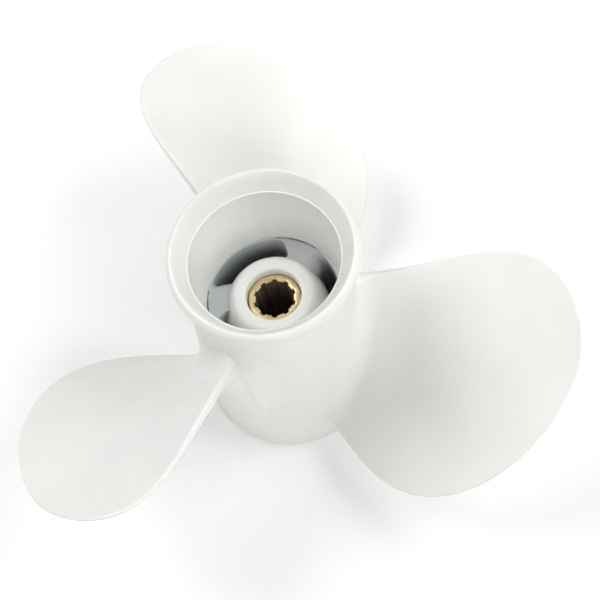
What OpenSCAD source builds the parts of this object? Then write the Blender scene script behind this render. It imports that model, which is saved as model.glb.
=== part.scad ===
// Outboard boat propeller: three blades on a through-hub exhaust barrel, with a
// splined sleeve carried in a rubber bush. The shaft runs along Z, aft is +Z, and
// the origin is the centre of the sleeve's forward face. Millimetres.

/* [Blades] */
// Diameter of the circle swept by the blade tips
prop_d = 250.8; // [235:0.2:275]
// Distance the blade face would advance in one turn
pitch = 356; // [300:2:400]
// Largest thickness of a blade just outside its root fillet
blade_root_t = 8.5; // [6:0.25:10]
// Largest thickness of a blade at its tip
blade_tip_t = 2.2; // [1.8:0.1:3]
// Thickness of the trailing edge at the root
edge_root_t = 4.2; // [3:0.1:5]
// Thickness of the leading and trailing edges at the tip
edge_tip_t = 1.4; // [1:0.1:1.8]
// Radius of the fillet between a blade and the barrel
root_fillet = 8; // [5:0.5:10]
// Half of the angle that a blade root covers, seen along the shaft
root_half_deg = 32.4; // [28:0.2:35]
// Turn of the middle of the blade from its generator line, at the root
skew_root_deg = -4.3; // [-8:0.1:0]
// Turn of the tip from the generator line
skew_tip_deg = 7.1; // [2:0.1:12]
// How far aft the tip leans from the root
rake = 13.4; // [6:0.1:18]
// Height of the blade's generator line above the barrel's forward end, at the root
blade_z = 53.3; // [50:0.1:58]

/* [Barrel] */
// Length of the barrel, from its forward end to the flared lip
barrel_len = 110.8; // [108:0.2:125]
// Radius of the outside at the forward end
barrel_r = 37; // [36:0.1:40]
// Radius of the outside at the neck, just below the flare
neck_r = 33.4; // [33:0.1:35]
// Height of the neck below the lip
neck_drop = 15.5; // [14:0.1:18]
// Radius of the flared lip
lip_r = 38; // [37:0.1:40]
// Height of the lip's outer band
lip_band = 7.6; // [6:0.1:9]
// Radius of the exhaust bore at its aft rim, where the flare begins
rim_r = 30; // [29:0.1:30.5]
// Depth of the aft rim below the lip
rim_drop = 7.5; // [6:0.1:9]
// Radius of the exhaust bore at the step above the webs
step_r = 27.7; // [27.2:0.1:28.2]
// Width of the step
step_w = 1; // [0.5:0.1:1.4]
// Radius of the exhaust bore at the forward end
mouth_r = 30.5; // [29:0.1:31.5]
// Rounding of the forward end's outer edge
front_round = 2.6; // [1:0.1:3]

/* [Inner hub] */
// Height of the inner hub's aft face above the barrel's forward end
hub_top = 73.6; // [72:0.1:78]
// Radius of the inner hub at its widest
hub_r = 22.4; // [22:0.1:23]
// Radius of the flat aft face
hub_face_r = 15.4; // [14.5:0.1:16.5]
// Gap between the sleeve and the opening around it in the aft face
hub_mouth_gap = 0.5; // [0.4:0.1:1.5]
// Thickness of the aft lip that stops the bush
hub_lip_t = 6.6; // [5:0.1:8]
// Height of the domed shoulder
shoulder_h = 15; // [12:0.5:18]
// Draft from the widest place up to the shoulder
hub_draft = 0.4; // [0.2:0.1:1]

/* [Webs] */
// Depth of the webs' aft faces below the inner hub's aft face
web_drop = 3.3; // [2.5:0.1:6]
// Distance of the webs' forward ends from the barrel's forward end
web_front = 14; // [10:0.5:24]
// Half of the angle that a web covers
web_half_deg = 21; // [12:0.5:24]
// Turn of the webs from the blades' generator lines
web_clock_deg = -31; // [-40:0.5:-25]
// How far a web leans back between the barrel and the inner hub
web_lean_deg = 8; // [0:0.5:12]

/* [Drive] */
// Length of the splined sleeve
sleeve_len = 61.7; // [58:0.1:63]
// Outside radius of the sleeve
sleeve_r = 10.7; // [10.2:0.1:11]
// How far the sleeve's forward face sits inside the barrel
sleeve_inset = 8; // [7:0.5:9]
// Number of splines
splines = 10; // [8:1:12]
// Radius of the spline's lands, the smallest inside radius
spline_minor_r = 7.7; // [7.4:0.05:7.9]
// Radius of the bottom of the spline grooves
spline_major_r = 8.5; // [8.3:0.05:8.8]
// Share of the spline's spacing that the groove takes
groove_share = 0.45; // [0.4:0.01:0.5]
// Turn of the first land
spline_clock_deg = -5; // [-18:0.5:18]
// Radius of the plain pilot bore at the forward end
pilot_r = 9; // [8.9:0.05:9.2]
// Depth of the pilot bore
pilot_depth = 8; // [5:0.5:12]
// Outside radius of the rubber bush
bush_r = 17.6; // [17:0.1:18]
// Length of the rubber bush
bush_len = 52; // [46:0.5:54]
// Radial running clearance between the bush and the inner hub
bush_clearance = 0.05; // [0.02:0.01:0.1]
// Clearance between the bush and the aft lip
bush_end_gap = 0.5; // [0.4:0.1:1]
// Chamfer on the ends of the bush and the sleeve
edge_chamfer = 0.8; // [0.4:0.1:1]

/* [Hidden] */
$fn = 96;

blade_count = 3;
blade_step_deg = 360 / blade_count;
// Angle of the first blade's generator line
first_blade_deg = 90;
// How full the outline is towards the tip, and how round the tip is
outline_fullness = 3.7;
outline_roundness = 0.63;
// How fast the skew and the rake build up along the blade
skew_power = 2.17;
rake_power = 1.47;
// Rows from root to tip, steps across a blade, and steps across its root's thickness
blade_rows = 40;
chord_points = 24;
seat_parts = 6;
// Share of the root fillet that goes around the leading and trailing edges
edge_fillet_share = 0.3;

tip_r = prop_d / 2;
// The barrel's forward end, in the frame of the origin
front_z = -sleeve_inset;
neck_z = barrel_len - neck_drop;
band_z = barrel_len - lip_band;
rim_z = barrel_len - rim_drop;
step_z = hub_top - web_drop;
hub_front = sleeve_inset;
hub_mouth_r = sleeve_r + hub_mouth_gap;
shoulder_r = hub_r - hub_draft;
shoulder_z = hub_top - shoulder_h;
hub_wide_z = hub_top / 2;
hub_lip_z = hub_top - hub_lip_t;
bush_top = hub_lip_z - bush_end_gap;
// The rounded edge of the lip
lip_round = 1.2;
// How far the lip's band leans outwards
band_lean = 1.4;
// How far the inner hub narrows to its forward end
front_draft = 0.4;

// Points of an arc about c
function arc(c, r, a0, a1, n) =
    [for (i = [0:n]) c + r * [cos(a0 + (a1 - a0) * i / n), sin(a0 + (a1 - a0) * i / n)]];

// Radius of the barrel's outside at height z, between the front rounding and the neck
function barrel_out_r(z) =
    barrel_r + (neck_r - barrel_r) * (z - front_round) / (neck_z - front_round);

// Radius of the exhaust bore at height z, below the step
function passage_r(z) = mouth_r + (step_r - step_w - mouth_r) * z / step_z;

// The concave sweep from the neck out to the lip's band
function flare_out() =
    [for (i = [1:7]) let (t = i / 8)
        [neck_r + (lip_r - band_lean - neck_r) * pow(t, 2.2), neck_z + (band_z - neck_z) * t]];

// The bell-mouthed surface from the lip down to the aft rim
function flare_in() =
    [for (i = [0:6]) let (t = i / 6)
        [rim_r + (lip_r - 2 * lip_round - rim_r) * pow(1 - t, 0.85),
         rim_z + (barrel_len - 0.3 - rim_z) * (1 - t)]];

function barrel_profile() = concat(
    [[mouth_r, 0]],
    arc([barrel_r - front_round, front_round], front_round, -90, 0, 8),
    [[neck_r, neck_z]],
    flare_out(),
    [[lip_r - band_lean, band_z]],
    arc([lip_r - lip_round, barrel_len - lip_round], lip_round, 0, 90, 6),
    flare_in(),
    [[step_r, step_z], [step_r - step_w, step_z]]);

// Radius of the inner hub's domed shoulder at height z
function dome_r(z) =
    hub_face_r + (shoulder_r - hub_face_r) * sqrt(max(0, hub_top - z) / shoulder_h);

// The shoulder beside the webs, and above them
function dome_low() =
    [for (i = [0:6]) let (z = shoulder_z + (step_z - shoulder_z) * i / 6) [dome_r(z), z]];
function dome_high() =
    [for (i = [1:4]) let (z = hub_top - web_drop * pow(1 - i / 4, 1.5)) [dome_r(z), z]];

// The outside of the inner hub, from its forward end to the aft face
function hub_outline() = concat(
    [[hub_r - front_draft, hub_front], [hub_r, hub_wide_z]], dome_low(), dome_high());

function hub_profile() = concat(
    hub_outline(),
    [[hub_mouth_r, hub_top], [hub_mouth_r, hub_lip_z],
     [bush_r + bush_clearance, hub_lip_z], [bush_r + bush_clearance, hub_front]]);

// The ring of space between the inner hub and the barrel that the webs cross
function passage_profile() = concat(
    [[hub_r - front_draft * (hub_wide_z - web_front) / (hub_wide_z - hub_front), web_front],
     [passage_r(web_front), web_front],
     [passage_r(step_z), step_z]],
    [for (i = [6:-1:0]) dome_low()[i]],
    [[hub_r, hub_wide_z]]);

module from_front() {
    translate([0, 0, front_z]) children();
}

module barrel() {
    color("whitesmoke")
    from_front()
    rotate_extrude() polygon(barrel_profile());
}

module inner_hub() {
    color("gainsboro")
    from_front()
    rotate_extrude() polygon(hub_profile());
}

// The plan of a web: its sides lean back towards the inner hub
module web_plan() {
    far = 1.3 * mouth_r;
    near = 0.6 * hub_r;
    // The lean goes on at the same rate past the ring at both ends
    rate = web_lean_deg / (step_r - hub_r);
    polygon([for (p = [[near, -1], [far, -1], [far, 1], [near, 1]])
        let (a = p[1] * web_half_deg + rate * (p[0] - step_r)) p[0] * [cos(a), sin(a)]]);
}

module web(i) {
    color("lightgray")
    from_front()
    rotate([0, 0, first_blade_deg + web_clock_deg + i * blade_step_deg])
    intersection() {
        rotate_extrude() polygon(passage_profile());
        linear_extrude(step_z + 1) web_plan();
    }
}

// Blade outline: half of the covered angle, and the middle, at v from root to tip
function half_deg(v) =
    root_half_deg * pow(1 - pow(v, outline_fullness), outline_roundness);
function middle_deg(v) =
    skew_root_deg + (skew_tip_deg - skew_root_deg) * pow(v, skew_power);

// Blade thickness at v, and at c across the chord, 0 leading and 1 trailing
function edge_t(v, c) =
    edge_tip_t + (edge_root_t - edge_tip_t) * pow(1 - v, 1.5) * c;
function section_t(v, c) =
    edge_t(v, c)
    + (blade_tip_t + (blade_root_t - blade_tip_t) * pow(1 - v, 1.1) - edge_t(v, 0.5))
      * sqrt(max(0, 4 * c * (1 - c))) * sqrt(max(0, 1 - pow(v, 12)));

// Extra thickness of the root fillet at height h above the barrel, and at c across the chord
function fillet_t(h, c) =
    let (x = 1 - min(1, h / root_fillet))
    root_fillet * (1 - sqrt(1 - x * x))
    * (edge_fillet_share + (1 - edge_fillet_share) * sqrt(max(0, 4 * c * (1 - c))));

// Radius at which a blade meets the barrel, at c across the chord
function seat_r(c) =
    barrel_out_r(blade_z + pitch * (skew_root_deg + root_half_deg * (2 * c - 1)) / 360);

// A point of a blade as [radius, turn, height], side 0 for the aft face and 1 for the forward
function blade_point(t, c, side) =
    let (
        r = seat_r(c) + (tip_r - seat_r(c)) * t,
        v = max(0, (r - seat_r(0.5)) / (tip_r - seat_r(0.5))),
        a = middle_deg(v) + half_deg(v) * (2 * c - 1),
        z = blade_z + rake * pow(v, rake_power) + pitch * a / 360,
        // The normal of the helical face, with parts along the turn and along Z
        lead = pitch / (2 * PI * r),
        n = [-lead, 1] / sqrt(1 + lead * lead),
        fillet = fillet_t(r - seat_r(c), c),
        off = side == 0 ? fillet : -fillet - section_t(v, c),
        zz = z + n[1] * off)
    [t == 0 ? barrel_out_r(zz) : r, first_blade_deg + a + n[0] * off / r * 180 / PI, zz];

// A point between the two faces at the root, on the barrel's surface
function seat_point(c, m) =
    let (p = blade_point(0, c, 0) * (1 - m) + blade_point(0, c, 1) * m)
    [barrel_out_r(p[2]), p[1], p[2]];

function to_xyz(p) = [p[0] * cos(p[1]), p[0] * sin(p[1]), p[2]];

// Rows stand closer together in the root fillet and at the tip
function row_t(i) = min((1 - cos(180 * i / blade_rows)) / 2, 0.9994);
function blade_row(i) = concat(
    [for (j = [0:chord_points]) blade_point(row_t(i), j / chord_points, 0)],
    [for (j = [chord_points:-1:0]) blade_point(row_t(i), j / chord_points, 1)]);

module blade(i) {
    ring = 2 * (chord_points + 1);
    seat = (blade_rows + 1) * ring;
    points = concat(
        [for (k = [0:blade_rows]) each blade_row(k)],
        [for (j = [1:chord_points - 1], m = [1:seat_parts - 1])
            seat_point(j / chord_points, m / seat_parts)]);
    // Each square of the skin is split in two
    skin = [for (k = [0:blade_rows - 1], j = [0:ring - 1])
        let (a = k * ring + j, b = k * ring + (j + 1) % ring)
        each [[a, b, b + ring], [a, b + ring, a + ring]]];
    // The root's end follows the barrel: where its point m of column j is kept
    function at(j, m) =
        m == 0 ? j : m == seat_parts ? ring - 1 - j :
        seat + (j - 1) * (seat_parts - 1) + m - 1;
    root = [for (j = [1:chord_points - 2], m = [0:seat_parts - 1])
        each [[at(j, m), at(j + 1, m + 1), at(j + 1, m)], [at(j, m), at(j, m + 1), at(j + 1, m + 1)]]];
    last = chord_points;
    ends = [for (m = [0:seat_parts - 1])
        each [[0, at(1, m + 1), at(1, m)], [last, at(last - 1, m), at(last - 1, m + 1)]]];
    corners = [[0, ring - 1, at(1, seat_parts)], [last, at(last - 1, seat_parts), ring - 1 - last]];
    top = blade_rows * ring;
    tip = [for (j = [0:chord_points - 1])
        let (a = top + j, b = top + j + 1, c = top + ring - 2 - j, d = top + ring - 1 - j)
        each [[a, b, c], [a, c, d]]];
    color("white")
    from_front()
    rotate([0, 0, i * blade_step_deg])
    polyhedron([for (p = points) to_xyz(p)], concat(skin, root, ends, corners, tip), convexity = 6);
}

module rubber_bush() {
    color("dimgray")
    from_front()
    rotate_extrude() polygon([
        [sleeve_r, bush_top - bush_len], [bush_r - edge_chamfer, bush_top - bush_len],
        [bush_r, bush_top - bush_len + edge_chamfer], [bush_r, bush_top - edge_chamfer],
        [bush_r - edge_chamfer, bush_top], [sleeve_r, bush_top]]);
}

module spline_plan() {
    groove_w = 2 * PI * (spline_minor_r + spline_major_r) / 2 / splines * groove_share;
    circle(spline_minor_r);
    intersection() {
        circle(spline_major_r);
        for (i = [0:splines - 1])
            rotate(spline_clock_deg + (i + 0.5) * 360 / splines)
            translate([0, -groove_w / 2])
            square([spline_major_r + 1, groove_w]);
    }
}

module spline_sleeve() {
    color("tan")
    difference() {
        rotate_extrude() polygon([
            [0, 0], [sleeve_r - edge_chamfer, 0], [sleeve_r, edge_chamfer],
            [sleeve_r, sleeve_len - edge_chamfer / 2],
            [sleeve_r - edge_chamfer / 2, sleeve_len], [0, sleeve_len]]);
        translate([0, 0, -1]) linear_extrude(sleeve_len + 2) spline_plan();
        translate([0, 0, -1]) cylinder(r = pilot_r, h = pilot_depth + 1);
    }
}

barrel();
inner_hub();
web(0);  // web_1
web(1);  // web_2
web(2);  // web_3
blade(0);  // blade_1
blade(1);  // blade_2
blade(2);  // blade_3
rubber_bush();
spline_sleeve();
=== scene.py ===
# %% [markdown]
# # An outboard propeller
# The real object is one white-painted aluminium casting, a rubber bush pressed into
# it, and a splined brass sleeve in the middle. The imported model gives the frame: the
# shaft runs along Z, aft is up, and all sizes are in metres. This notebook dresses
# that frame, one piece at a time, and never moves or resizes it.

# %% Load the frame
import math
import bpy
import bmesh
from mathutils import Matrix, Quaternion, Vector


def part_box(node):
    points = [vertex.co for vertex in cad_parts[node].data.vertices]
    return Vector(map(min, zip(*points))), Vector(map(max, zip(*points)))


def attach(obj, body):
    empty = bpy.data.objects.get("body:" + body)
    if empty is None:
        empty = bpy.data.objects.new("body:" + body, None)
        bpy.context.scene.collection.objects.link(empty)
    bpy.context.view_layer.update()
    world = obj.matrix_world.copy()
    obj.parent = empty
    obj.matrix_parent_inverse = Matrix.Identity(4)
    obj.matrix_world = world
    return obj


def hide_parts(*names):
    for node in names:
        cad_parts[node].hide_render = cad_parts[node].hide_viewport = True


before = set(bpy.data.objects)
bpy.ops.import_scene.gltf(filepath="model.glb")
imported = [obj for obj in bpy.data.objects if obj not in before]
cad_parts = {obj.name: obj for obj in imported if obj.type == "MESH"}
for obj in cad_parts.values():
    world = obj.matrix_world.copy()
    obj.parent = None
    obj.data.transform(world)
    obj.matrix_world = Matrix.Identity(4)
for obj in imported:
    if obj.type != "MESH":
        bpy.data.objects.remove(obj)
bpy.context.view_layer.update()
MM = 0.001

# %% [markdown]
# Most sizes can be read from the frame itself, because every node's box is known.
# The rest are the same few driving dimensions that the construction uses, written
# here once. Heights in the construction start at the barrel's forward end, and the
# frame's origin is the sleeve's forward face, so FRONT turns one into the other.

# %% Sizes
barrel_low, barrel_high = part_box("barrel")
hub_low, hub_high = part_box("inner_hub")
sleeve_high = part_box("spline_sleeve")[1]
bush_low, bush_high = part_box("rubber_bush")

FRONT = barrel_low.z
LIP_Z = barrel_high.z
LIP_R = barrel_high.x
HUB_TOP = hub_high.z
HUB_FRONT = hub_low.z
HUB_R = hub_high.x
SLEEVE_R = sleeve_high.x
SLEEVE_TOP = sleeve_high.z
BUSH_R = bush_high.x

BARREL_R, NECK_R, RIM_R = 37.0 * MM, 33.4 * MM, 30.0 * MM
NECK_Z = LIP_Z - 15.5 * MM
BAND_Z = LIP_Z - 7.6 * MM
RIM_Z = LIP_Z - 7.5 * MM
BAND_LEAN = 1.4 * MM
FRONT_ROUND = 2.6 * MM
STEP_R, STEP_W, MOUTH_R = 27.7 * MM, 1.0 * MM, 30.5 * MM
STEP_Z = HUB_TOP - 3.3 * MM
SHOULDER_R = HUB_R - 0.4 * MM
SHOULDER_H = 15.0 * MM
HUB_FACE_R = 15.4 * MM
HUB_MOUTH_R = SLEEVE_R + 0.5 * MM
HUB_LIP_T = 6.6 * MM
WEB_FRONT = FRONT + 14.0 * MM
WEB_HALF = math.radians(21.0)
WEB_TURN = math.radians(90.0 - 31.0)
WEB_LEAN = math.radians(8.0) / (STEP_R - HUB_R)
BLADES = 3

tip = max(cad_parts["blade_1"].data.vertices, key=lambda v: v.co.x ** 2 + v.co.y ** 2)
TIP_R = math.hypot(tip.co.x, tip.co.y)
print(f"tip circle {2 * TIP_R / MM:.1f} mm, barrel {(LIP_Z - FRONT) / MM:.1f} mm long")


def barrel_out_r(z):
    """Radius of the barrel's drafted outside at height z."""
    share = (z - FRONT - FRONT_ROUND) / (NECK_Z - FRONT - FRONT_ROUND)
    return BARREL_R + (NECK_R - BARREL_R) * share


# %% [markdown]
# The camera looks down on the flared aft end from high in front, through a longish
# lens. It is aimed at a point on the barrel and rolled a little, as a person holds a
# camera over a table.

# %% Camera
AIM = Vector((9.2, 5.9, 45.0)) * MM
CAMERA_AZIMUTH = math.radians(-83.38)
CAMERA_ELEVATION = math.radians(63.14)
CAMERA_ROLL = math.radians(-13.75)
CAMERA_DISTANCE = 720.3 * MM
LENS = 104.2


def aim_at(obj, target, azimuth, elevation, distance, roll=0.0):
    """Stand obj at an angle and distance from target, and turn its -Z axis to it."""
    away = Vector((math.cos(elevation) * math.cos(azimuth),
                   math.cos(elevation) * math.sin(azimuth), math.sin(elevation)))
    obj.location = target + away * distance
    obj.rotation_mode = "QUATERNION"
    obj.rotation_quaternion = Quaternion(away, roll) @ away.to_track_quat("Z", "Y")


camera_data = bpy.data.cameras.new("camera")
camera_data.lens = LENS
camera_data.sensor_width = 36.0
camera_data.clip_start = 0.01
camera = bpy.data.objects.new("camera", camera_data)
bpy.context.scene.collection.objects.link(camera)
bpy.context.scene.camera = camera
aim_at(camera, AIM, CAMERA_AZIMUTH, CAMERA_ELEVATION, CAMERA_DISTANCE, CAMERA_ROLL)
print("camera at", [round(c / MM, 1) for c in camera.location])

# %% [markdown]
# A white object on a pale table needs large, soft lights. Four softboxes stand around
# it at half height, so that the blades' forms stay readable and light still reaches
# down into the bore; the left one is the strongest. A faint light from all around
# keeps the shadows open. It grows a little towards the horizon, so that the room
# isn't dark behind the object in a low view.

# %% Light
scene = bpy.context.scene
scene.view_settings.view_transform = "Standard"
scene.view_settings.look = "None"
SKY_BAND = (0.02, 0.12)
SKY_GLOW = (0.5, 0.06)

world = bpy.data.worlds.new("studio")
world.use_nodes = True
sky = world.node_tree
background = sky.nodes["Background"]
background.inputs["Color"].default_value = (1.0, 1.0, 1.0, 1.0)
sky_place = sky.nodes.new("ShaderNodeTexCoord")
sky_height = sky.nodes.new("ShaderNodeSeparateXYZ")


def glow_between(tree, value, band, strengths):
    """A node that turns a value, over a band, into a strength between two others."""
    node = tree.nodes.new("ShaderNodeMapRange")
    for name, number in zip(("From Min", "From Max", "To Min", "To Max"), band + strengths):
        node.inputs[name].default_value = number
    tree.links.new(value, node.inputs["Value"])
    return node.outputs["Result"]


sky.links.new(sky_place.outputs["Generated"], sky_height.inputs[0])
sky.links.new(glow_between(sky, sky_height.outputs["Z"], SKY_BAND, SKY_GLOW),
              background.inputs["Strength"])
scene.world = world


SOFTBOX_DISTANCE = 1.4
SOFTBOX_TARGET = Vector((0, 0, 40)) * MM


def softbox(name, azimuth, elevation, size, watts):
    """A square area light that looks at the middle of the barrel."""
    data = bpy.data.lights.new(name, "AREA")
    data.size = size
    data.energy = watts
    box = bpy.data.objects.new(name, data)
    scene.collection.objects.link(box)
    aim_at(box, SOFTBOX_TARGET, math.radians(azimuth), math.radians(elevation),
           SOFTBOX_DISTANCE)


softbox("front_softbox", -80.0, 40.0, 0.8, 8.0)
softbox("left_softbox", 150.0, 50.0, 0.9, 11.4)
softbox("back_softbox", 60.0, 45.0, 0.9, 2.8)
softbox("right_softbox", 0.0, 45.0, 0.9, 10.2)
print("softboxes:", [light.name for light in bpy.data.lights])

# %% [markdown]
# The table is one large square, plain and pale. The softboxes light only its middle,
# so its own glow grows with the distance, and it stays pale to its far edge.

# %% Table
TABLE_HALF = 6.0
TABLE_BAND = (0.9, 2.0)
TABLE_GLOW = (0.10, 0.9)
table_mesh = bpy.data.meshes.new("table")
table_corners = [(x * TABLE_HALF, y * TABLE_HALF, FRONT)
                 for x, y in ((-1, -1), (1, -1), (1, 1), (-1, 1))]
table_mesh.from_pydata(table_corners, [], [(0, 1, 2, 3)])
table = bpy.data.objects.new("table", table_mesh)
scene.collection.objects.link(table)
table_paint = bpy.data.materials.new("table_white")
table_paint.use_nodes = True
table_shader = table_paint.node_tree.nodes["Principled BSDF"]
table_shader.inputs["Base Color"].default_value = (0.93, 0.93, 0.93, 1.0)
table_shader.inputs["Roughness"].default_value = 0.9
table_shader.inputs["Specular IOR Level"].default_value = 0.0
table_shader.inputs["Emission Color"].default_value = (1.0, 1.0, 1.0, 1.0)
table_tree = table_paint.node_tree
table_place = table_tree.nodes.new("ShaderNodeTexCoord")
from_middle = table_tree.nodes.new("ShaderNodeVectorMath")
from_middle.operation = "LENGTH"
table_tree.links.new(table_place.outputs["Object"], from_middle.inputs[0])
table_tree.links.new(glow_between(table_tree, from_middle.outputs["Value"], TABLE_BAND, TABLE_GLOW),
                     table_shader.inputs["Emission Strength"])
table_mesh.materials.append(table_paint)
print("table at", round(FRONT / MM, 1), "mm")

# %% [markdown]
# Every finish is a small node tree on Object coordinates. All pieces share one
# origin, so a pattern runs on unbroken from a blade to the barrel, as paint does.
# A few helpers keep the trees readable: one adds a node and links it, one makes a
# noise of a given grain size, and one squeezes its values between two limits.

# %% Material helpers


class Finish:
    """A material with a Principled shader and short ways to add nodes to it."""

    def __init__(self, name):
        self.material = bpy.data.materials.new(name)
        self.material.use_nodes = True
        self.tree = self.material.node_tree
        self.shader = self.tree.nodes["Principled BSDF"]
        self.place = self.tree.nodes.new("ShaderNodeTexCoord").outputs["Object"]

    def add(self, kind, settings=None, **inputs):
        """Add a node, set its properties, and set or link its inputs."""
        node = self.tree.nodes.new(kind)
        for name, value in (settings or {}).items():
            setattr(node, name, value)
        for name, value in inputs.items():
            socket = node.inputs[name.replace("_", " ")]
            if isinstance(value, bpy.types.NodeSocket):
                self.tree.links.new(value, socket)
            else:
                socket.default_value = value
        return node

    def noise(self, grain, detail=2.0, stretch=(1, 1, 1)):
        """Noise whose blotches are about grain metres across."""
        where = self.add("ShaderNodeMapping", Vector=self.place, Scale=stretch)
        return self.add("ShaderNodeTexNoise", Vector=where.outputs[0],
                        Scale=1.0 / grain, Detail=detail).outputs["Fac"]

    def span(self, value, low, high, start=0.35, stop=0.65):
        """Squeeze a value that runs from start to stop between low and high."""
        node = self.add("ShaderNodeMapRange", Value=value, To_Min=low, To_Max=high)
        node.inputs["From Min"].default_value = start
        node.inputs["From Max"].default_value = stop
        return node.outputs["Result"]

    def mix(self, factor, first, second):
        """Blend two colours."""
        node = self.tree.nodes.new("ShaderNodeMix")
        node.data_type = "RGBA"
        sockets = {socket.identifier: socket for socket in node.inputs}
        for name, value in (("Factor_Float", factor), ("A_Color", first), ("B_Color", second)):
            if isinstance(value, bpy.types.NodeSocket):
                self.tree.links.new(value, sockets[name])
            else:
                sockets[name].default_value = value
        return next(out for out in node.outputs if out.identifier == "Result_Color")

    def bump(self, height, depth, below=None):
        """Raise the surface by height times depth metres, on top of another bump."""
        node = self.add("ShaderNodeBump", Height=height, Distance=depth, Strength=1.0)
        if below is not None:
            self.tree.links.new(below, node.inputs["Normal"])
        return node.outputs["Normal"]

    def math(self, operation, *values):
        """One Math node on numbers or sockets."""
        node = self.tree.nodes.new("ShaderNodeMath")
        node.operation = operation
        for value, socket in zip(values, node.inputs):
            if isinstance(value, bpy.types.NodeSocket):
                self.tree.links.new(value, socket)
            else:
                socket.default_value = value
        return node.outputs[0]

    def radius_and_height(self):
        """Distance from the shaft's axis, and height along it."""
        xyz = self.add("ShaderNodeSeparateXYZ", Vector=self.place)
        square = self.math("ADD", self.math("POWER", xyz.outputs["X"], 2.0),
                           self.math("POWER", xyz.outputs["Y"], 2.0))
        return self.math("SQRT", square), xyz.outputs["Z"]

    def set(self, **inputs):
        """Set or link the shader's own sockets."""
        for name, value in inputs.items():
            socket = self.shader.inputs[name.replace("_", " ")]
            if isinstance(value, bpy.types.NodeSocket):
                self.tree.links.new(value, socket)
            else:
                socket.default_value = value


# %% [markdown]
# The casting is sprayed with a thin satin white paint. Close up such paint isn't one
# colour: it is a little warmer where it lies thick, and its gloss changes with the
# skin of the casting below it. Noises of six sizes do that. Two set the tone, a cloud
# as large as a thumb and a fine fleck, and one the gloss. Three are bumps: grit, orange
# peel, and the casting's own unevenness, which bends the highlights on the blades.

# %% White paint


def white_paint(name, tone, shade, rough):
    """Satin paint over cast aluminium, between two tones."""
    paint = Finish(name)
    cloud = paint.span(paint.noise(34 * MM, detail=3.0), 0.0, 1.0)
    fleck = paint.span(paint.noise(1.6 * MM, detail=4.0), 0.0, 0.35, start=0.55, stop=0.75)
    clouded = paint.mix(cloud, tone, shade)
    paint.set(Base_Color=paint.mix(fleck, clouded, shade),
              Roughness=paint.span(paint.noise(9 * MM, detail=4.0), rough - 0.05, rough + 0.07),
              Coat_Weight=0.12, Coat_Roughness=0.22)
    swell = paint.bump(paint.noise(24 * MM, detail=1.0), 0.35 * MM)
    peel = paint.bump(paint.noise(1.1 * MM, detail=2.0), 0.012 * MM, below=swell)
    grit = paint.bump(paint.noise(0.35 * MM, detail=2.0), 0.003 * MM, below=peel)
    paint.set(Normal=grit)
    return paint


outside_paint = white_paint("satin_white_paint", (0.86, 0.865, 0.835, 1.0),
                            (0.82, 0.828, 0.80, 1.0), 0.36)
print("paint nodes:", len(outside_paint.tree.nodes))

# %% [markdown]
# The aft end of the exhaust bore is turned on a lathe before it is painted, so faint
# rings show under the paint. They are a bump that repeats with the height alone.
# Deeper in, the coat is thin, cooler and duller. Its grey is partly that thin coat and
# partly painted shade, and it is painted darker still with the depth below the step,
# as painted shade for the deep passage. The inner hub's paint is made whiter than the
# rest, a painted light that lifts its shaded sides.

# %% Bore finishes
turned_paint = white_paint("turned_white_paint", (0.84, 0.845, 0.82, 1.0),
                           (0.81, 0.818, 0.792, 1.0), 0.42)
BORE_RING_PITCH, BORE_RING_DEPTH = 0.55 * MM, 0.004 * MM
height_in_bore = turned_paint.radius_and_height()[1]
rings = turned_paint.math("SINE", turned_paint.math("MULTIPLY", height_in_bore,
                                                    2 * math.pi / BORE_RING_PITCH))
paint_normal = turned_paint.shader.inputs["Normal"].links[0].from_socket
turned_paint.set(Normal=turned_paint.bump(rings, BORE_RING_DEPTH, below=paint_normal))

# Painted shade: a grey copy of the white, darker partly for its thin coat and partly as painted
# shade on the webs and in the deep passage.
thin_paint_and_shade = white_paint("thin_grey_paint_and_painted_shade", (0.60, 0.62, 0.63, 1.0),
                         (0.52, 0.54, 0.56, 1.0), 0.55)
# Painted shade: the coat is painted darker with the depth below the step, down to this colour.
PAINTED_DEEP_SHADE = (0.23, 0.25, 0.255, 1.0)
DEPTH_SHADE_START, DEPTH_SHADE_REACH = 0.5 * MM, 12.0 * MM
depth = thin_paint_and_shade.math("SUBTRACT", STEP_Z, thin_paint_and_shade.radius_and_height()[1])
depth_shade = thin_paint_and_shade.span(depth, 0.0, 0.85, start=DEPTH_SHADE_START, stop=DEPTH_SHADE_REACH)
coat_colour = thin_paint_and_shade.shader.inputs["Base Color"].links[0].from_socket
thin_paint_and_shade.set(Base_Color=thin_paint_and_shade.mix(depth_shade, coat_colour, PAINTED_DEEP_SHADE))

# Painted light: the hub's paint is a whiter copy of the white, to brighten its shaded sides.
hub_paint_painted_light = white_paint("hub_white_paint_painted_light", (0.95, 0.955, 0.925, 1.0),
                        (0.91, 0.918, 0.885, 1.0), 0.38)
print("paints:", [paint.material.name for paint in (turned_paint, thin_paint_and_shade, hub_paint_painted_light)])

# %% [markdown]
# The sleeve is brass: bright where it was faced and turned, with fine rings around
# the shaft, and nearly black-brown inside, where the broached splines hold grease.
# One tree does both, because how dark it is depends only on the distance from the
# axis and the depth below the aft face.

# %% Brass and rubber
GREASED_R, SLEEVE_MOUTH = 8.95 * MM, 0.45 * MM
FACING_RING_PITCH, FACING_RING_DEPTH = 0.22 * MM, 0.002 * MM

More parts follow.
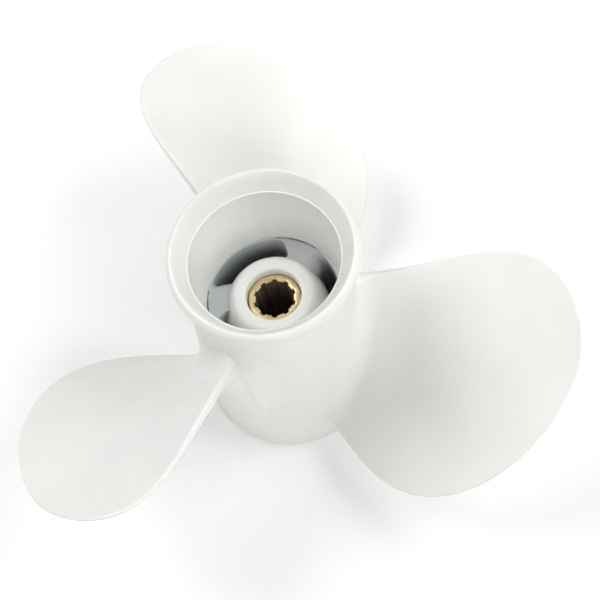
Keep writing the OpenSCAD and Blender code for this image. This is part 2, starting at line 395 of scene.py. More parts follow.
brass = Finish("machined_brass")
brass_r, brass_z = brass.radius_and_height()
inside = brass.math("MULTIPLY",
                    brass.math("LESS_THAN", brass_r, GREASED_R),
                    brass.math("LESS_THAN", brass_z, SLEEVE_TOP - SLEEVE_MOUTH))
streak = brass.noise(1.3 * MM, detail=4.0, stretch=(1.0, 1.0, 0.08))
grease = brass.mix(brass.span(streak, 0.0, 1.0), (0.11, 0.080, 0.058, 1.0), (0.22, 0.16, 0.11, 1.0))
bright = brass.mix(brass.span(brass.noise(3.5 * MM, detail=4.0), 0.0, 1.0),
                   (0.84, 0.69, 0.40, 1.0), (0.72, 0.57, 0.31, 1.0))
brass.set(Base_Color=brass.mix(inside, bright, grease),
          Metallic=brass.math("SUBTRACT", 1.0, brass.math("MULTIPLY", inside, 0.85)),
          Roughness=brass.math("ADD", brass.span(brass.noise(0.9 * MM, detail=3.0), 0.34, 0.50),
                               brass.math("MULTIPLY", inside, 0.18)))
facing_rings = brass.math("SINE", brass.math("MULTIPLY", brass_r, 2 * math.pi / FACING_RING_PITCH))
brass.set(Normal=brass.bump(facing_rings, FACING_RING_DEPTH,
                            below=brass.bump(brass.noise(0.5 * MM, detail=3.0), 0.008 * MM)))

rubber = Finish("black_rubber")
rubber.set(Base_Color=rubber.mix(rubber.span(rubber.noise(5 * MM, detail=4.0), 0.0, 1.0),
                                 (0.018, 0.018, 0.018, 1.0), (0.035, 0.034, 0.032, 1.0)),
           Roughness=rubber.span(rubber.noise(2 * MM), 0.7, 0.9),
           Normal=rubber.bump(rubber.noise(0.6 * MM, detail=3.0), 0.02 * MM))
print("finishes:", [m.name for m in bpy.data.materials if m.use_nodes])

# %% [markdown]
# The barrel, the inner hub and the bush are turned shapes: an outline in radius and
# height, carried once around Z. The corners of a casting are never sharp, so each
# outline is given as corners with a radius each, and a helper puts an arc at every
# corner. Long straight runs are split, to keep shading even.

# %% Turned shapes
SHARP_FROM = math.radians(42)


def rounded(corners, steps=6):
    """Corners (x, y, radius) joined by straight runs, with an arc at each corner."""
    points = []
    count = len(corners)
    for i, (x, y, radius) in enumerate(corners):
        here = Vector((x, y))
        to_last = Vector(corners[i - 1][:2]) - here
        to_next = Vector(corners[(i + 1) % count][:2]) - here
        angle = to_last.angle(to_next)
        if radius <= 0 or angle > math.pi - 0.01:
            points.append(here)
            continue
        cut = min(radius / math.tan(angle / 2), 0.49 * to_last.length, 0.49 * to_next.length)
        start, end = here + to_last.normalized() * cut, here + to_next.normalized() * cut
        bisector = (to_last.normalized() + to_next.normalized()).normalized()
        centre = here + bisector * (cut / math.cos(angle / 2))
        first, last = start - centre, end - centre
        sweep = math.atan2(first.x * last.y - first.y * last.x, first.dot(last))
        points += [centre + Matrix.Rotation(sweep * k / steps, 2) @ first for k in range(steps + 1)]
    return points


def split_runs(points, longest):
    """The closed outline with no side longer than longest."""
    result = []
    for here, after in zip(points, points[1:] + points[:1]):
        parts = max(1, math.ceil((after - here).length / longest))
        result += [here.lerp(after, k / parts) for k in range(parts)]
    return result


def new_piece(name, mesh, body, replaces=()):
    """Put a mesh into the scene as a piece on a body, smooth but for its sharp edges."""
    piece = bpy.data.objects.new(name, mesh)
    scene.collection.objects.link(piece)
    mesh.shade_smooth()
    mesh.set_sharp_from_angle(angle=SHARP_FROM)
    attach(piece, body)
    if replaces:
        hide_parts(*replaces)
    spans = [max(v.co[i] for v in mesh.vertices) - min(v.co[i] for v in mesh.vertices)
             for i in range(3)]
    print(f"{name}: {len(mesh.polygons)} faces, {[round(span / MM, 1) for span in spans]} mm")


def turned(name, outline, segments, finishes, choose=None):
    """Carry a closed outline around Z. choose(radius, z) picks a face's finish."""
    mesh = bpy.data.meshes.new(name)
    shape = bmesh.new()
    rings = [[shape.verts.new((p.x * math.cos(a), p.x * math.sin(a), p.y)) for p in outline]
             for a in (2 * math.pi * k / segments for k in range(segments))]
    count = len(outline)
    for k, ring in enumerate(rings):
        after = rings[(k + 1) % segments]
        for j in range(count):
            n = (j + 1) % count
            face = shape.faces.new((ring[j], ring[n], after[n], after[j]))
            middle = (outline[j] + outline[n]) / 2
            face.material_index = choose(middle.x, middle.y) if choose else 0
    bmesh.ops.recalc_face_normals(shape, faces=shape.faces)
    shape.to_mesh(mesh)
    shape.free()
    for finish in finishes:
        mesh.materials.append(finish.material)
    return mesh


# %% [markdown]
# The barrel tapers aft to a neck, sweeps out into a bell-mouthed flare and ends in a
# narrow outer band with a rounded lip. Inside, the bore narrows from a ledge at its
# rim to a small step just above the webs, and opens again towards the forward end.
# Each face picks its finish by where it lies.

# %% Barrel
FLARE_STEPS = 12
CREST_STEPS = 10
CREST_R, CREST_H = 2.4 * MM, 3.2 * MM
LEDGE_W, LEDGE_H = 0.6 * MM, 0.15 * MM
LONGEST_RUN = 3 * MM
BARREL_SEGMENTS = 288


def flare_outside(t):
    """The concave sweep from the neck (t = 0) to the foot of the band (t = 1)."""
    return (NECK_R + (LIP_R - BAND_LEAN - NECK_R) * t ** 2.2, NECK_Z + (BAND_Z - NECK_Z) * t, 0.0)


def crest(t):
    """A quarter of an ellipse, from the band's side (t = 0) to the top of the lip (t = 1)."""
    angle = math.pi / 2 * t
    return (LIP_R - CREST_R * (1 - math.cos(angle)), LIP_Z - CREST_H * (1 - math.sin(angle)), 0.0)


def flare_inside(t):
    """The bell mouth from the top of the lip (t = 0) down to the ledge at the rim (t = 1)."""
    start, stop = LIP_R - CREST_R, RIM_R + LEDGE_W
    return (start + (stop - start) * t, LIP_Z - (LIP_Z - RIM_Z - LEDGE_H) * t ** 1.25, 0.0)


barrel_corners = (
    [(MOUTH_R, FRONT, 0.6 * MM), (BARREL_R, FRONT, FRONT_ROUND)]
    + [flare_outside(k / FLARE_STEPS) for k in range(FLARE_STEPS)]
    + [(LIP_R - BAND_LEAN, BAND_Z, 1.2 * MM)]
    + [crest(k / CREST_STEPS) for k in range(CREST_STEPS + 1)]
    + [flare_inside(k / FLARE_STEPS) for k in range(1, FLARE_STEPS)]
    + [(RIM_R + LEDGE_W, RIM_Z + LEDGE_H, 0.3 * MM), (RIM_R, RIM_Z, 0.3 * MM),
       (STEP_R, STEP_Z, 0.1 * MM), (STEP_R - STEP_W, STEP_Z, 0.35 * MM)])
barrel_outline = split_runs(rounded(barrel_corners), LONGEST_RUN)


def barrel_finish(radius, z):
    """0 outside, 1 in the turned bore, 2 in the deep passage."""
    inside = radius < RIM_R + 0.4 * MM and z < RIM_Z and radius < barrel_out_r(z) - 2 * MM
    return 0 if not inside else 1 if z > STEP_Z + 0.05 * MM else 2


new_piece("barrel_shell", turned("barrel_shell", barrel_outline, BARREL_SEGMENTS,
                                 (outside_paint, turned_paint, thin_paint_and_shade), barrel_finish),
          "casting", ("barrel",))

# %% [markdown]
# The inner hub is a smaller turned shape: a flat ring around the sleeve, a soft
# shoulder, and drafted sides. Its lip keeps the rubber bush from being pushed out aft.

# %% Inner hub
DOME_STEPS = 16
HUB_SEGMENTS, BUSH_SEGMENTS = 224, 128
BUSH_GAP = 0.05 * MM


def dome_r(z):
    """Radius of the hub's domed shoulder at height z."""
    return HUB_FACE_R + (SHOULDER_R - HUB_FACE_R) * math.sqrt(max(0.0, HUB_TOP - z) / SHOULDER_H)


dome_depths = [SHOULDER_H * (1 - k / DOME_STEPS) ** 1.6 for k in range(DOME_STEPS)]
hub_corners = (
    [(HUB_R - 0.4 * MM, HUB_FRONT, 1.0 * MM), (HUB_R, FRONT + (HUB_TOP - FRONT) / 2, 0.0)]
    + [(dome_r(HUB_TOP - depth), HUB_TOP - depth, 0.0) for depth in dome_depths]
    + [(HUB_FACE_R, HUB_TOP, 0.12 * MM), (HUB_MOUTH_R, HUB_TOP, 1.4 * MM),
       (HUB_MOUTH_R, HUB_TOP - HUB_LIP_T, 0.3 * MM), (BUSH_R + BUSH_GAP, HUB_TOP - HUB_LIP_T, 0.0),
       (BUSH_R + BUSH_GAP, HUB_FRONT, 0.5 * MM)])
new_piece("inner_hub_casting",
          turned("inner_hub_casting", split_runs(rounded(hub_corners), LONGEST_RUN), HUB_SEGMENTS,
                 (hub_paint_painted_light,)),
          "casting", ("inner_hub",))

# %% [markdown]
# The rubber bush is hidden but for its forward end. It fills the room between the
# sleeve and the inner hub, and twists with the sleeve, so it rides on the core's body.

# %% Rubber bush
bush_corners = [(SLEEVE_R, bush_low.z, 0.0), (BUSH_R, bush_low.z, 1.0 * MM),
                (BUSH_R, bush_high.z, 1.0 * MM), (SLEEVE_R, bush_high.z, 0.0)]
new_piece("rubber_bush_moulding",
          turned("rubber_bush_moulding", split_runs(rounded(bush_corners), 4 * MM), BUSH_SEGMENTS,
                 (rubber,)),
          "hub_core", ("rubber_bush",))

# %% [markdown]
# A blade follows a rule, so Geometry Nodes can grow all three from one tree. The
# surface is a helicoid: one turn climbs the pitch, so a point that lies some degrees
# round the shaft sits pitch * degrees / 360 higher. A grid of points carries two
# numbers: how far out from the barrel a point is, and where it is around the blade's
# section, from the leading edge over the aft face to the trailing edge and back under
# the forward face.
# A node tree for such a rule has hundreds of small Math nodes. The class below lets
# them be written as ordinary arithmetic: each operator adds one node.

# %% Arithmetic for node trees


class Field:
    """A number at every point of a Geometry Nodes tree."""

    def __init__(self, socket):
        self.socket = socket

    def node(self, operation, *others):
        tree = self.socket.id_data
        made = tree.nodes.new("ShaderNodeMath")
        made.operation = operation
        for value, socket in zip((self,) + others, made.inputs):
            if isinstance(value, Field):
                tree.links.new(value.socket, socket)
            else:
                socket.default_value = value
        return Field(made.outputs[0])

    def swapped(self, operation, other):
        """other operation self, for a plain number on the left."""
        made = self.node(operation, other).socket.node
        tree = self.socket.id_data
        tree.links.remove(made.inputs[0].links[0])
        made.inputs[0].default_value = other
        tree.links.new(self.socket, made.inputs[1])
        return Field(made.outputs[0])

    def __add__(self, other): return self.node("ADD", other)
    def __radd__(self, other): return self.node("ADD", other)
    def __sub__(self, other): return self.node("SUBTRACT", other)
    def __rsub__(self, other): return self.swapped("SUBTRACT", other)
    def __mul__(self, other): return self.node("MULTIPLY", other)
    def __rmul__(self, other): return self.node("MULTIPLY", other)
    def __truediv__(self, other): return self.node("DIVIDE", other)
    def __rtruediv__(self, other): return self.swapped("DIVIDE", other)
    def __pow__(self, other): return self.node("POWER", other)
    def least(self, other): return self.node("MINIMUM", other)
    def most(self, other): return self.node("MAXIMUM", other)
    def below(self, other): return self.node("LESS_THAN", other)
    def sin(self): return self.node("SINE")
    def cos(self): return self.node("COSINE")
    def sqrt(self): return self.node("SQRT")
    def size(self): return self.node("ABSOLUTE")


def new_tree(name, output, **inputs):
    """A Geometry Nodes tree with named number inputs, and the fields of those inputs."""
    tree = bpy.data.node_groups.new(name, "GeometryNodeTree")
    tree.is_modifier = True
    tree.interface.new_socket(output, in_out="OUTPUT", socket_type="NodeSocketGeometry")
    for title, value in inputs.items():
        kind = "NodeSocketFloat" if isinstance(value, float) else f"NodeSocket{value}"
        made = tree.interface.new_socket(title.replace("_", " "), in_out="INPUT", socket_type=kind)
        if isinstance(value, float):
            made.default_value = value
    start, end = tree.nodes.new("NodeGroupInput"), tree.nodes.new("NodeGroupOutput")
    return tree, {s.name: s for s in start.outputs if s.name}, end.inputs[0]


def chain(tree, socket, *steps):
    """Pass geometry through nodes given as (type, {input: value})."""
    for kind, inputs in steps:
        node = tree.nodes.new(kind)
        tree.links.new(socket, node.inputs[0])
        for name, value in inputs.items():
            if isinstance(value, bpy.types.NodeSocket):
                tree.links.new(value, node.inputs[name])
            else:
                node.inputs[name].default_value = value
        socket = node.outputs[0]
    return socket


def grow(name, tree, base=None, **inputs):
    """Run a tree on an object, with its inputs set by identifier, and keep the mesh."""
    worker = bpy.data.objects.new(name + "_worker", base or bpy.data.meshes.new(name + "_base"))
    scene.collection.objects.link(worker)
    modifier = worker.modifiers.new("grow", "NODES")
    modifier.node_group = tree
    identifiers = {s.name: s.identifier for s in tree.interface.items_tree if s.in_out == "INPUT"}
    for title, value in inputs.items():
        modifier[identifiers[title.replace("_", " ")]] = value
    graph = bpy.context.evaluated_depsgraph_get()
    mesh = bpy.data.meshes.new_from_object(worker.evaluated_get(graph),
                                           preserve_all_data_layers=True, depsgraph=graph)
    mesh.name = name
    worker.modifiers.clear()
    bpy.data.objects.remove(worker)
    shape = bmesh.new()
    shape.from_mesh(mesh)
    bmesh.ops.recalc_face_normals(shape, faces=shape.faces)
    open_edges = sum(1 for edge in shape.edges if not edge.is_manifold)
    shape.to_mesh(mesh)
    shape.free()
    print(f"{name}: {len(mesh.vertices)} points, {open_edges} open edges")
    return mesh


# %% [markdown]
# The tree for a blade starts with its sizes, as named inputs, and a flat grid. Rows
# are packed closer at the root and the tip, and points closer at the two edges, where
# the surface turns quickest. The first row is a cap and the second a skirt: both lie
# inside the barrel's wall, so the blade is a closed solid that shows no gap.

# %% Blade grid
BLADE_ROWS, BLADE_POINTS = 120, 129
blade_tree, size, blade_out = new_tree(
    "blade_tree", "Blade", Turn=0.0, Tip_Radius=TIP_R, Pitch=356 * MM, Height=FRONT + 53.3 * MM,
    Root_Half_Angle=math.radians(32.4), Fullness=3.7, Roundness=0.63,
    Skew_At_Root=math.radians(-4.3), Skew_At_Tip=math.radians(7.1), Skew_Power=2.17,
    Rake=13.4 * MM, Rake_Power=1.47, Root_Thickness=8.5 * MM, Tip_Thickness=2.2 * MM,
    Root_Edge=2.9 * MM, Tip_Edge=1.4 * MM, Root_Fillet=8.0 * MM, Edge_Fillet_Share=0.12,
    Edge_Foot=1.2 * MM, Paint="Material")
size = {name: Field(socket) if name != "Paint" else socket for name, socket in size.items()}

grid = blade_tree.nodes.new("GeometryNodeMeshGrid")
grid.inputs["Vertices X"].default_value = BLADE_ROWS
grid.inputs["Vertices Y"].default_value = BLADE_POINTS
xyz = blade_tree.nodes.new("ShaderNodeSeparateXYZ")
blade_tree.links.new(blade_tree.nodes.new("GeometryNodeInputPosition").outputs[0], xyz.inputs[0])
row, around = Field(xyz.outputs[0]) + 0.5, Field(xyz.outputs[1]) + 0.5

one_row = 1.0 / (BLADE_ROWS - 1)
is_root_cap = row.below(0.5 * one_row)
is_skirt = row.below(1.5 * one_row) - is_root_cap
past_root_rows = ((row - 2.0 * one_row) / (1.0 - 2.0 * one_row)).most(0.0)
span_share = (1.0 - (past_root_rows * math.pi).cos()) * 0.5
chord_share = (1.0 - (around * (2 * math.pi)).cos()) * 0.5
face_sign = 1.0 - (around - 0.5).node("GREATER_THAN", 0.0) * 2.0

# %% [markdown]
# Next comes the outline. The root is seated on the tapering barrel, so its radius
# changes along the chord. Further out the blade's half angle shrinks slowly and then
# quickly, which gives the round tip, and its middle line is swept back by the skew.

# %% Blade outline
seat_angle = size["Skew At Root"] + size["Root Half Angle"] * (chord_share * 2.0 - 1.0)
taper = (NECK_R - BARREL_R) / (NECK_Z - FRONT - FRONT_ROUND)


def barrel_r_at(height):
    """The barrel's outside as a field."""
    return (height - (FRONT + FRONT_ROUND)) * taper + BARREL_R


seat = barrel_r_at(size["Height"] + size["Pitch"] * seat_angle / (2 * math.pi))
seat_middle = barrel_r_at(size["Height"] + size["Pitch"] * size["Skew At Root"] / (2 * math.pi))
radius = seat + (size["Tip Radius"] - seat) * span_share
out = ((radius - seat_middle) / (size["Tip Radius"] - seat_middle)).most(0.0).least(1.0)
inner = 1.0 - out
half = size["Root Half Angle"] * (1.0 - out ** size["Fullness"]).most(0.0) ** size["Roundness"]
middle = (size["Skew At Root"]
          + (size["Skew At Tip"] - size["Skew At Root"]) * out ** size["Skew Power"])
screw_r = (radius * radius + (size["Pitch"] / (2 * math.pi)) ** 2.0).sqrt()

# %% [markdown]
# The root has a fillet that flows into the barrel. It is full in the middle of the
# chord, about half as strong along the leading edge's aft side, and thin at the
# trailing edge. A small foot spreads both edges where they meet the barrel.

# %% Blade root fillet
LEAD_FILLET = 0.55
rise = radius - seat
crown = (chord_share * (1.0 - chord_share) * 4.0).most(0.0).sqrt()
root_x = 1.0 - (rise / size["Root Fillet"]).least(1.0)
lead_side = (1.0 - chord_share) ** 6.0 * (face_sign * 0.5 + 0.5)
edge_share = size["Edge Fillet Share"]
fillet = size["Root Fillet"] * (1.0 - (1.0 - root_x * root_x).most(0.0).sqrt()) \
    * (edge_share + (1.0 - edge_share) * crown.most(lead_side * LEAD_FILLET))
foot_x = 1.0 - (rise / size["Edge Foot"]).least(1.0)
foot = size["Edge Foot"] * (1.0 - (1.0 - foot_x * foot_x).most(0.0).sqrt())
side_share = chord_share * 2.0 - 1.0
angle = middle + (half + foot / screw_r) * side_share

# %% [markdown]
# The section is thickest in the middle, and its trailing edge is thicker than its
# leading edge. Both are rounded: within an edge's own half thickness, the two faces
# close on a quarter circle. How near a point is to the outline is judged across the
# chord and towards the tip together, so the rounding runs evenly around the tip.

# %% Blade section
SKIRT_OUT, SMALLEST_ROUND, TINY = 1.0 * MM, 0.2 * MM, 1e-7
edge = size["Tip Edge"] + (size["Root Edge"] - size["Tip Edge"]) * inner ** 1.5 * chord_share
edge_middle = size["Tip Edge"] + (size["Root Edge"] - size["Tip Edge"]) * inner ** 1.5 * 0.5
body = size["Tip Thickness"] + (size["Root Thickness"] - size["Tip Thickness"]) * inner ** 1.1
section = edge + (body - edge_middle) * crown * (1.0 - out ** 12.0).most(0.0).sqrt()

half_section = section * 0.5 + fillet + is_skirt * SKIRT_OUT
edge_round = (edge * 0.5 + fillet).most(SMALLEST_ROUND)
to_edge = half * screw_r * (1.0 - side_share.size())
chord_used = (half * side_share).size() / size["Root Half Angle"]
outline_at = (1.0 - chord_used ** (1.0 / size["Roundness"])).most(0.0) ** (1.0 / size["Fullness"])
to_tip = ((outline_at - out) * (size["Tip Radius"] - seat_middle)).most(0.0)
to_outline = to_edge * to_tip / ((to_edge * to_edge + to_tip * to_tip).sqrt().most(TINY))
edge_x = 1.0 - (to_outline / edge_round).least(1.0)
closing = (1.0 - edge_x * edge_x).most(0.0).sqrt()
offset = section * -0.5 + face_sign * half_section * closing

# %% [markdown]
# Last, each point is put in its place on the helicoid: turned by its angle, raised by
# the pitch and the rake, and moved off the aft face along the surface's normal. The
# skirt and the cap go into the wall. Points that fall together are welded.

# %% Blade placement
SEAT_SINK, SKIRT_SINK, CAP_SINK = 0.012 * MM, 0.05 * MM, 1.5 * MM
AT_ROOT_SHARE = 1e-6
lead = size["Pitch"] / (radius * (2 * math.pi))
slope = (1.0 + lead * lead).sqrt()
turn = size["Turn"] + angle - lead / slope * offset / radius
height = size["Height"] + size["Rake"] * out ** size["Rake Power"] \
    + size["Pitch"] * angle / (2 * math.pi) + offset / slope
root_r = barrel_r_at(height) - SEAT_SINK - is_skirt * SKIRT_SINK
at_root = span_share.below(AT_ROOT_SHARE)
final_r = radius + (root_r - radius) * at_root
cap_r = seat_middle - CAP_SINK
cap_z = size["Height"] + size["Pitch"] * size["Skew At Root"] / (2 * math.pi)
cap_turn = size["Turn"] + size["Skew At Root"]
final_r = final_r + (cap_r - final_r) * is_root_cap
final_turn = turn + (cap_turn - turn) * is_root_cap
final_z = height + (cap_z - height) * is_root_cap

place = blade_tree.nodes.new("ShaderNodeCombineXYZ")
final_place = (final_r * final_turn.cos(), final_r * final_turn.sin(), final_z)
for value, socket in zip(final_place, place.inputs):
    blade_tree.links.new(value.socket, socket)
grown = chain(blade_tree, grid.outputs["Mesh"],
              ("GeometryNodeSetPosition", {"Position": place.outputs[0]}),
              ("GeometryNodeMergeByDistance", {"Distance": 0.002 * MM}),
              ("GeometryNodeRealizeInstances", {}),
              ("GeometryNodeSetMaterial", {"Material": size["Paint"]}))
blade_tree.links.new(grown, blade_out)
print("nodes in the blade tree:", len(blade_tree.nodes))

# %% [markdown]
# The three blades are the same tree run three times, 120 degrees apart. They stay
# separate pieces, because the frame has a node for each.

# %% Blades
for k in range(BLADES):
    name = f"blade_{k + 1}_casting"
    mesh = grow(name, blade_tree, Turn=math.radians(90 + 120 * k), Paint=outside_paint.material)
    new_piece(name, mesh, "casting", (f"blade_{k + 1}",))

# %% [markdown]
# Three webs carry the inner hub, three ridges run down the barrel, and ten splines
# line the sleeve: each is one shape repeated around the shaft. A second tree does
# that. It takes the one shape as its input, puts copies of it around Z, makes them
# real, welds where they meet, and gives them their finish.

# %% Repeat around the shaft
repeat_tree, repeat, repeat_out = new_tree("repeat_around_shaft", "Ring", Shape="Geometry",
                                           Copies="Int", Weld=0.001 * MM, Paint="Material")
line = repeat_tree.nodes.new("GeometryNodeMeshLine")
repeat_tree.links.new(repeat["Copies"], line.inputs["Count"])
line.inputs["Offset"].default_value = (0.0, 0.0, 0.0)
index = Field(repeat_tree.nodes.new("GeometryNodeInputIndex").outputs[0])
turned_by = index * (2 * math.pi) / Field(repeat["Copies"])
spin = repeat_tree.nodes.new("ShaderNodeCombineXYZ")
repeat_tree.links.new(turned_by.socket, spin.inputs["Z"])
to_rotation = repeat_tree.nodes.new("FunctionNodeEulerToRotation")
repeat_tree.links.new(spin.outputs[0], to_rotation.inputs[0])
ring = chain(repeat_tree, line.outputs["Mesh"],
             ("GeometryNodeInstanceOnPoints", {"Instance": repeat["Shape"],
                                               "Rotation": to_rotation.outputs[0]}),
             ("GeometryNodeRealizeInstances", {}),
             ("GeometryNodeMergeByDistance", {"Distance": repeat["Weld"]}),
             ("GeometryNodeSetMaterial", {"Material": repeat["Paint"]}))
repeat_tree.links.new(ring, repeat_out)


def repeated(name, shape, copies, finish):
    """A ring of copies of a mesh around Z, as one plain mesh with a finish."""
    return grow(name, repeat_tree, base=shape, Copies=copies, Paint=finish.material)


def lofted(name, sections, capped=True):
    """A mesh through equal rows of points. Each row is a loop, and the ends are capped."""
    shape = bmesh.new()
    rows = [[shape.verts.new(p) for p in section] for section in sections]
    count = len(rows[0])
    for here, after in zip(rows, rows[1:]):
        for j in range(count):
            n = (j + 1) % count
            shape.faces.new((here[j], here[n], after[n], after[j]))
    if capped:
        shape.faces.new(rows[0])
        shape.faces.new(list(reversed(rows[-1])))
    mesh = bpy.data.meshes.new(name)
    shape.to_mesh(mesh)
    shape.free()
    return mesh


print("nodes in the repeat tree:", len(repeat_tree.nodes))

# %% [markdown]
# A web's aft face lies in the plane of the bore's step. Seen from aft, its edge that
# leads counter-clockwise is crisp and the other is well rounded. It leans a little,
# so that its outer end is turned further round than its inner end, and both its ends
# spread into a small fillet where they meet the walls.

# %% Webs
WEBS = 3
WEB_ROWS = 14
WEB_ROUND, WEB_CRISP, WEB_BACK_ROUND = 6.5 * MM, 0.35 * MM, 1.2 * MM
WEB_FOOT, HUB_FOOT_REACH, WALL_FOOT_REACH = 1.4 * MM, 2.2 * MM, 1.6 * MM
WEB_SINK, WEB_REACH = 0.5 * MM, 0.3 * MM
LONG_SIDE = 6 * MM


def split_even(points, parts):
    """Split only the long straight sides, into the same number of parts each."""
    result = []
    for here, after in zip(points, points[1:] + points[:1]):
        number = parts if (after - here).length > LONG_SIDE else 1
        result += [here.lerp(after, k / number) for k in range(number)]
    return result


def web_row(radius):
    """One section of a web, across it, at a distance from the shaft."""
    foot = WEB_FOOT * (max(0.0, 1 - (radius - dome_r(STEP_Z)) / HUB_FOOT_REACH) ** 2
                       + max(0.0, 1 - (STEP_R - STEP_W - radius) / WALL_FOOT_REACH) ** 2)
    side = WEB_HALF * radius + foot
    corners = [(-side, STEP_Z, WEB_ROUND), (side, STEP_Z, WEB_CRISP),
               (side, WEB_FRONT, WEB_BACK_ROUND), (-side, WEB_FRONT, WEB_BACK_ROUND)]
    row = split_even(rounded(corners, 8), 10)
    turn = WEB_TURN + WEB_LEAN * (radius - STEP_R)
    return [(radius * math.cos(turn + p.x / radius), radius * math.sin(turn + p.x / radius), p.y)
            for p in row]


web_start, web_span = dome_r(STEP_Z) - WEB_SINK, STEP_R + WEB_REACH - dome_r(STEP_Z)
web_shape = lofted("web_shape", [web_row(web_start + web_span * k / WEB_ROWS)
                                 for k in range(WEB_ROWS + 1)])
new_piece("web_castings", repeated("web_castings", web_shape, WEBS, thin_paint_and_shade),
          "casting", ("web_1", "web_2", "web_3"))

# %% [markdown]
# The die that casts the propeller parts along a line that leaves each blade's
# trailing edge and runs forward down the barrel. There the two halves don't quite
# meet, and a low wedge is left: crisp on the side under the blade, and fading out on
# the other side. It starts wide at the blade and runs out to a point. Its plan is two
# lists of turns round the shaft at a few heights, read off on straight lines in
# between, and the repeat tree makes three of them.

# %% Parting ridges
RIDGE_ROWS = 44
RIDGE_START, RIDGE_STOP = 25.2, 89.8
RIDGE_STEEPNESS, RIDGE_WIDEST = 0.52, 6.0 * MM
RIDGE_END_TOP, RIDGE_END_LENGTH = 89.0, 11.0
CRISP_SHARE = 0.10
RIDGE_FADE, FULL_FADE_WIDTH = 13.0 * MM, 5 * MM
RIDGE_BED, RIDGE_EDGE_BED = 0.6 * MM, 0.25 * MM
RIDGE_FACE_STEPS, RIDGE_FADE_STEPS = 8, 14
RIDGE_FACE_POWER, RUN_OUT_POWER = 0.85, 1.3
TAIL_SINK_FROM, TAIL_SINK_LENGTH, TAIL_SINK = 84.0, 6.0, 0.06 * MM
FADE_SINK = 0.012 * MM
crisp_side = [(24.9, 40.6), (32.0, 38.9), (39.7, 36.7), (46.0, 34.9), (52.0, 32.9), (57.5, 30.6),
              (61.7, 28.4), (66.0, 26.4), (74.0, 25.5), (90.0, 25.5)]
crest_side = [(24.9, 40.6), (37.0, 39.6), (49.0, 38.6), (62.1, 37.6), (73.4, 36.8), (84.0, 35.4),
              (90.0, 34.0)]


def along(table, height):
    """The value of a (height, value) table at a height, on straight lines between."""
    for (h0, v0), (h1, v1) in zip(table, table[1:]):
        if height <= h1:
            return v0 + (v1 - v0) * (height - h0) / (h1 - h0)
    return table[-1][1]


def ridge_row(height):
    """One section of the ridge at a height above the barrel's forward end, in millimetres."""
    z = FRONT + height * MM
    barrel_here = barrel_out_r(z)
    crisp, top = (math.radians(90 + along(table, height)) for table in (crisp_side, crest_side))
    width = (top - crisp) * barrel_here
    run_out = max(0.0, min(1.0, (RIDGE_END_TOP - height) / RIDGE_END_LENGTH)) ** RUN_OUT_POWER
    rise = RIDGE_STEEPNESS * min(width, RIDGE_WIDEST) * run_out
    sink = TAIL_SINK * max(0.0, (height - TAIL_SINK_FROM) / TAIL_SINK_LENGTH)
    fade = RIDGE_FADE * min(1.0, width / FULL_FADE_WIDTH) / barrel_here
    skin = [(crisp, -RIDGE_EDGE_BED), (crisp, CRISP_SHARE * rise - sink)]
    skin += [(crisp + (top - crisp) * k / RIDGE_FACE_STEPS,
              rise * (CRISP_SHARE
                      + (1 - CRISP_SHARE) * (k / RIDGE_FACE_STEPS) ** RIDGE_FACE_POWER) - sink)
             for k in range(1, RIDGE_FACE_STEPS + 1)]
    skin += [(top + fade * k / RIDGE_FADE_STEPS,
              rise * math.cos(math.pi / 2 * k / RIDGE_FADE_STEPS) ** 2
              - sink - FADE_SINK * k / RIDGE_FADE_STEPS)
             for k in range(1, RIDGE_FADE_STEPS + 1)]
    skin += [(top + fade, -RIDGE_BED), (top, -RIDGE_BED), (crisp, -RIDGE_BED)]
    return [((barrel_here + up) * math.cos(a), (barrel_here + up) * math.sin(a), z)
            for a, up in skin]


ridge_shape = lofted("ridge_shape",
                     [ridge_row(RIDGE_START + (RIDGE_STOP - RIDGE_START) * k / RIDGE_ROWS)
                      for k in range(RIDGE_ROWS + 1)])
new_piece("parting_ridges", repeated("parting_ridges", ridge_shape, BLADES, outside_paint),
          "casting")

# %% [markdown]
# The sleeve has ten splines, so one tenth of it is drawn and repeated: a wedge whose
# inner side is half a groove, a spline, and half a groove. Its ends are chamfered, and
# at the forward end a short plain bore guides the shaft.

# %% Splined sleeve
SPLINES = 10
SPLINE_R, GROOVE_R, PILOT_R = 7.7 * MM, 8.5 * MM, 9.0 * MM
PILOT_DEPTH = 8.0 * MM
SPLINE_TURN = math.radians(-5.0)
SPLINE_HALF = math.pi / SPLINES * 0.55
FLANK = math.radians(1.3)
CHAMFER = 0.8 * MM

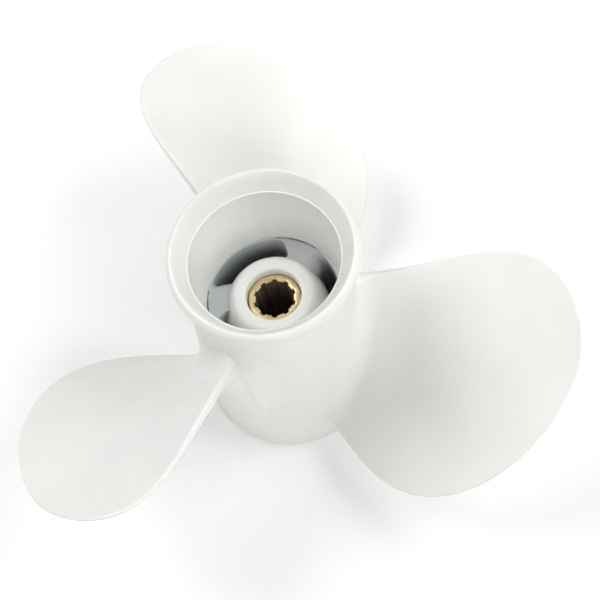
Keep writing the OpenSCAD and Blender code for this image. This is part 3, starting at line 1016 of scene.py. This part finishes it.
half_sector = math.pi / SPLINES
flank_marks = [(SPLINE_HALF + FLANK, GROOVE_R - 0.05 * MM),
               (SPLINE_HALF + 0.6 * FLANK, GROOVE_R - 0.25 * MM),
               (SPLINE_HALF + 0.1 * FLANK, SPLINE_R + 0.2 * MM),
               (SPLINE_HALF - 0.4 * FLANK, SPLINE_R + 0.03 * MM)]
sector_marks = (
    [(-half_sector + (half_sector - SPLINE_HALF - FLANK) * k / 4, GROOVE_R) for k in range(4)]
    + [(-turn, radius) for turn, radius in flank_marks]
    + [(SPLINE_HALF * k / 4 * 0.9, SPLINE_R) for k in range(-4, 5)]
    + flank_marks[::-1]
    + [(half_sector - (half_sector - SPLINE_HALF - FLANK) * k / 4, GROOVE_R)
       for k in range(3, -1, -1)])


def sleeve_section(angle, inner_r):
    """The sleeve cut by a plane through the axis, as a loop of points."""
    mouth = SLEEVE_MOUTH
    corners = [(SLEEVE_R - CHAMFER, 0.0), (SLEEVE_R, CHAMFER), (SLEEVE_R, SLEEVE_TOP / 2),
               (SLEEVE_R, SLEEVE_TOP - CHAMFER / 2), (SLEEVE_R - 0.12 * MM, SLEEVE_TOP - 0.15 * MM),
               (SLEEVE_R - CHAMFER / 2, SLEEVE_TOP),
               ((SLEEVE_R + inner_r) / 2, SLEEVE_TOP), (inner_r + mouth, SLEEVE_TOP),
               (inner_r + 0.3 * mouth, SLEEVE_TOP - 0.45 * mouth),
               (inner_r, SLEEVE_TOP - mouth), (inner_r, SLEEVE_TOP - 8 * MM),
               (inner_r, SLEEVE_TOP / 2),
               (inner_r, PILOT_DEPTH + 0.3 * MM), (inner_r + 0.3 * MM, PILOT_DEPTH),
               (PILOT_R, PILOT_DEPTH), (PILOT_R, 0.5 * MM), (PILOT_R + 0.5 * MM, 0.0)]
    turn = SPLINE_TURN + angle
    return [(r * math.cos(turn), r * math.sin(turn), z) for r, z in corners]


sleeve_shape = lofted("sleeve_shape", [sleeve_section(*mark) for mark in sector_marks],
                      capped=False)
new_piece("spline_sleeve_brass", repeated("spline_sleeve_brass", sleeve_shape, SPLINES, brass),
          "hub_core", ("spline_sleeve",))
